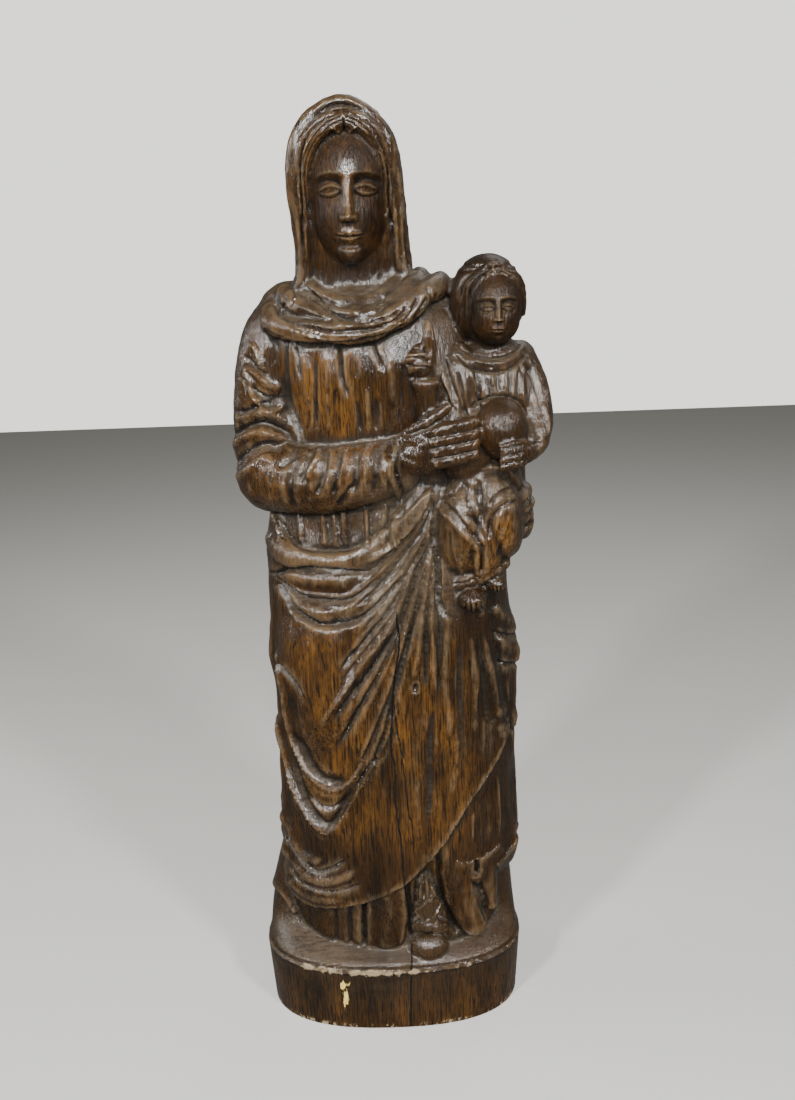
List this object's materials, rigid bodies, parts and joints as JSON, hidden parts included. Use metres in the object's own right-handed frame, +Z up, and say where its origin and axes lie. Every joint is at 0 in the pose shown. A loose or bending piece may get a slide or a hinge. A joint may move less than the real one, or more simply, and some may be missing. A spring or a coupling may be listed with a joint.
{
  "type": "virgin and child statue",
  "caption": "Carved dark oak statue of a standing veiled woman in a draped mantle who holds a seated child with an orb, on its own low rounded plinth.",
  "frame": {"origin": "centre of the plinth's flat underside", "axes": "+Z up along the figure, -Y to the front where the figure faces, +X to the side where the child sits"},
  "size_m": [0.206, 0.1206, 0.6203],
  "materials": {
    "dark_oak": "old carved oak, stained dark brown and waxed to a shine, worn golden on the high places and dusty in the hollows"
  },
  "bodies": {
    "root": {"virgin_and_child": "dark_oak"}
  },
  "joints": []
}
